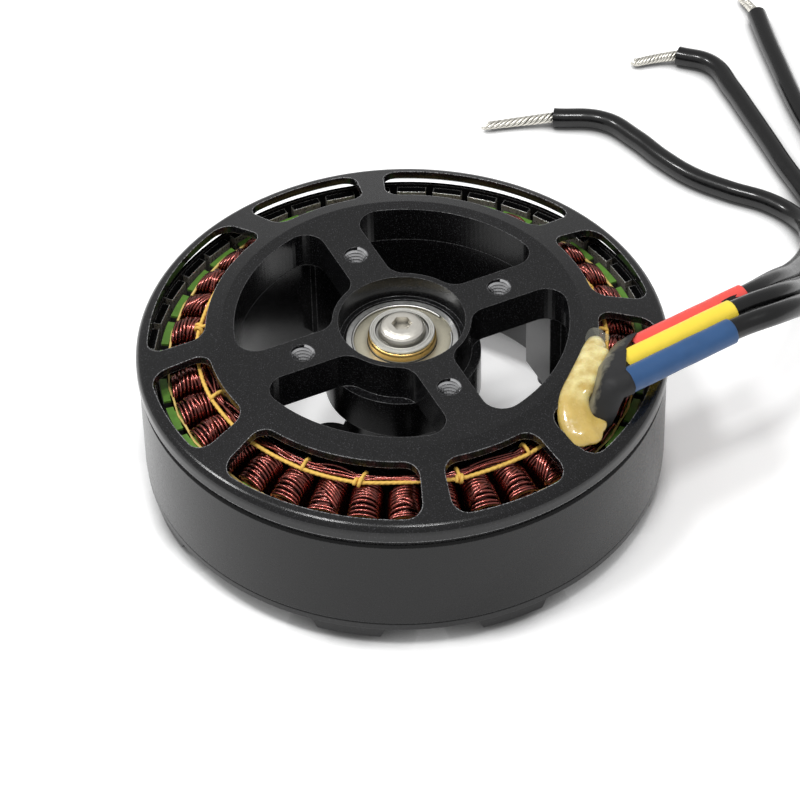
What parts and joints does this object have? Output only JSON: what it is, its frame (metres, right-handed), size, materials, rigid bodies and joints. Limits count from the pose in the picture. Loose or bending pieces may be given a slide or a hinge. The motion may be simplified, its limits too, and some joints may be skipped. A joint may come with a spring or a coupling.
{
  "type": "brushless outrunner motor",
  "caption": "Flat brushless outrunner motor with a spoked mounting plate, a wound stator seen through its windows, a turning magnet bell and three free leads.",
  "frame": {"origin": "on the shaft axis, at the level of the propeller face that the motor stands on", "axes": "+Z along the shaft towards the mounting plate, +X through the middle of the window that the leads come out of"},
  "size_m": [0.1083, 0.1803, 0.0355],
  "materials": {
    "anodised_black": "matte black anodised aluminium with a fine grain",
    "end_plate_black": "satin black anodised aluminium",
    "ring_coating": "dark grey satin coated steel",
    "magnet_nickel": "nickel plated magnet",
    "lamination_steel": "stacked silicon steel sheets",
    "green_insulation": "green insulating powder coat",
    "slot_paper": "pale yellow insulating paper",
    "copper_enamel": "dark red enamelled copper wire",
    "lacing_yellow": "waxed yellow lacing cord",
    "bearing_steel": "ground bearing steel",
    "shield_tan": "zinc passivated shield with a tan tint",
    "shaft_steel": "ground hardened steel",
    "spacer_brass": "turned brass",
    "collar_silver": "bright turned aluminium",
    "screw_silver": "bright steel socket screw",
    "screw_black": "black oxide steel",
    "wrap_black": "matte black shrink wrap",
    "glue_cream": "glossy cream set glue",
    "sleeve_red": "red shrink sleeve",
    "sleeve_yellow": "yellow shrink sleeve",
    "sleeve_blue": "blue shrink sleeve",
    "silicone_black": "glossy black silicone insulation",
    "tinned_copper": "tinned stranded copper"
  },
  "bodies": {
    "stator": {"mount_plate": "anodised_black", "stator_carrier": "anodised_black", "carrier_screws": "screw_black", "stator_core": "lamination_steel", "upper_insulation": "green_insulation", "lower_insulation": "green_insulation", "upper_slot_liner": "slot_paper", "lower_slot_liner": "slot_paper", "coils_phase_a": "copper_enamel", "coils_phase_b": "copper_enamel", "coils_phase_c": "copper_enamel", "phase_jumpers": "copper_enamel", "lacing_cord": "lacing_yellow", "upper_outer_race": "bearing_steel", "upper_shield": "shield_tan", "shield_clip": "bearing_steel", "lower_outer_race": "bearing_steel", "lower_shield": "shield_tan", "lead_wrap": "wrap_black", "glue_bead": "glue_cream", "red_sleeve": "sleeve_red", "yellow_sleeve": "sleeve_yellow", "blue_sleeve": "sleeve_blue", "red_lead": "silicone_black", "yellow_lead": "silicone_black", "blue_lead": "silicone_black", "lead_tips": "tinned_copper"},
    "rotor": {"upper_inner_race": "bearing_steel", "lower_inner_race": "bearing_steel", "shaft": "shaft_steel", "race_spacer": "shaft_steel", "brass_spacer": "spacer_brass", "shaft_collar": "collar_silver", "shaft_screw": "screw_silver", "rotor_end_plate": "end_plate_black", "flux_ring": "ring_coating", "magnets": "magnet_nickel"},
    "upper_bearing_balls": {"upper_balls": "bearing_steel", "upper_cage": "bearing_steel"},
    "lower_bearing_balls": {"lower_balls": "bearing_steel", "lower_cage": "bearing_steel"}
  },
  "joints": [
    {"name": "rotor_spin", "type": "hinge", "parent": "stator", "child": "rotor", "pos_m": [0, 0, 0.015], "axis": [0, 0, 1], "continuous": true},
    {"name": "upper_cage_spin", "type": "hinge", "parent": "stator", "child": "upper_bearing_balls", "pos_m": [0, 0, 0.0238], "axis": [0, 0, 1], "continuous": true},
    {"name": "lower_cage_spin", "type": "hinge", "parent": "stator", "child": "lower_bearing_balls", "pos_m": [0, 0, 0.0122], "axis": [0, 0, 1], "continuous": true}
  ],
  "couplings": [
    {"joint": "upper_cage_spin", "follows": "rotor_spin", "ratio": 0.391},
    {"joint": "lower_cage_spin", "follows": "rotor_spin", "ratio": 0.4}
  ]
}
